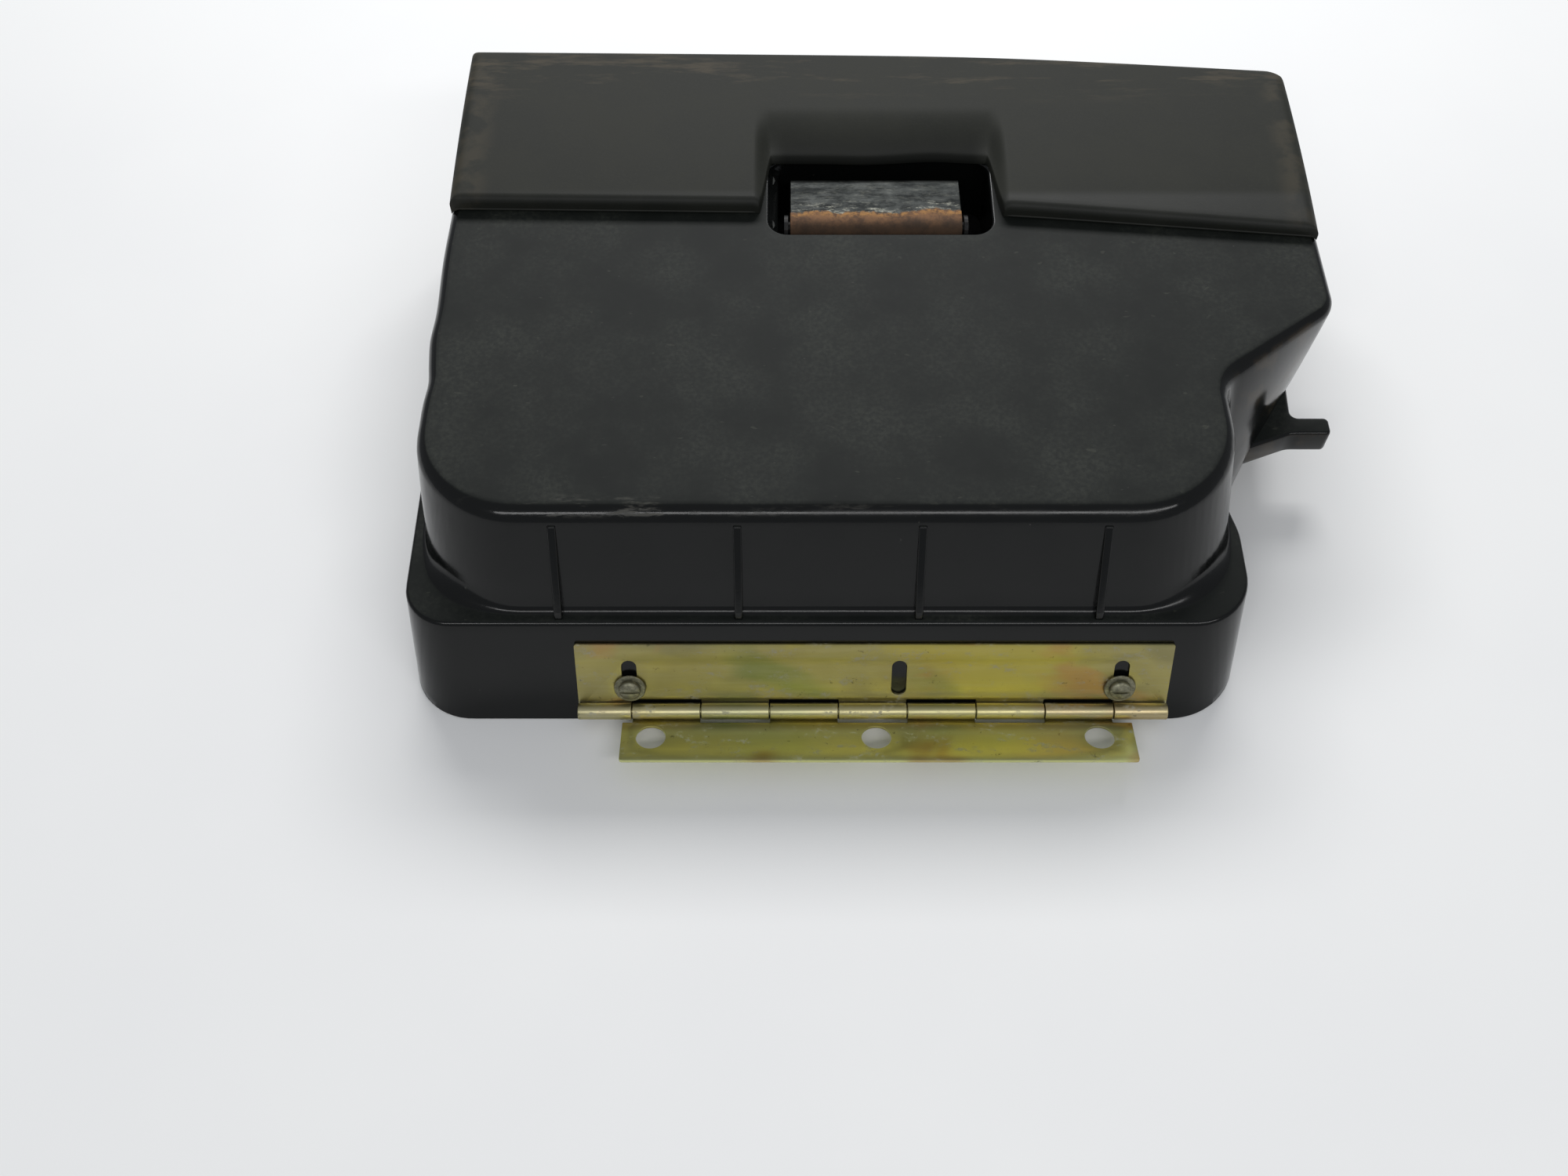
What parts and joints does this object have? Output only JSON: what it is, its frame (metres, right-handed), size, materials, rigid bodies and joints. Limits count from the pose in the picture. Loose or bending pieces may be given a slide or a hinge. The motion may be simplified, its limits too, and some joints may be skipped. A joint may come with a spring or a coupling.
{
  "type": "glove box",
  "caption": "Moulded tilt-out glove box with a sprung latch lever in a finger recess, a stop arm and a slotted piano hinge.",
  "frame": {"origin": "under the middle of the whole object's box, on the surface that the rim stands on", "axes": "+X along the hinge, to the side with the stop arm; +Y from the hinge to the latch; +Z from the rim to the main face"},
  "size_m": [0.359, 0.299, 0.088],
  "materials": {
    "black_plastic": "satin face, glossy walls, light scuffs",
    "cover_plastic": "satin, dusty with brown scuffs",
    "yellow_zinc": "yellow chromate zinc, mottled",
    "latch_steel": "worn zinc with rust on the rolled edge",
    "dark_steel": "black phosphate",
    "screw_steel": "dull zinc",
    "spring_steel": "oiled",
    "nylon": "natural"
  },
  "bodies": {
    "box": {"tub": "black_plastic", "top_cover": "cover_plastic", "latch_bracket": "dark_steel", "latch_pivot_pin": "dark_steel", "latch_spring": "spring_steel", "hinge_leaf_upper": "yellow_zinc", "hinge_pin": "yellow_zinc", "cover_screw_1": "screw_steel", "cover_screw_2": "screw_steel", "cover_screw_3": "screw_steel", "cover_screw_4": "screw_steel", "cover_screw_5": "screw_steel", "cover_screw_6": "screw_steel", "bracket_screw_1": "screw_steel", "bracket_screw_2": "screw_steel", "bracket_screw_3": "screw_steel", "bracket_screw_4": "screw_steel", "hinge_washer_left": "screw_steel", "hinge_washer_right": "screw_steel", "hinge_screw_left": "screw_steel", "hinge_screw_right": "screw_steel", "hinge_inner_washer_left": "screw_steel", "hinge_inner_washer_right": "screw_steel", "hinge_nut_left": "screw_steel", "hinge_nut_right": "screw_steel"},
    "mounting_leaf": {"hinge_leaf_lower": "yellow_zinc"},
    "latch": {"latch_lever": "latch_steel", "latch_hook": "dark_steel", "latch_bush_left": "nylon", "latch_bush_right": "nylon"}
  },
  "joints": [
    {"name": "leaf_hinge", "type": "hinge", "parent": "box", "child": "mounting_leaf", "pos_m": [0, -0.12682, 0.00749], "axis": [1, 0, 0], "range_deg": [-85, 80]},
    {"name": "latch_pivot", "type": "hinge", "parent": "box", "child": "latch", "pos_m": [0, 0.05761, 0.072], "axis": [1, 0, 0], "range_deg": [0, 25], "stiffness_Nm_per_rad": 0.05, "springref_deg": -28.65, "deforming": ["latch_spring"]}
  ]
}
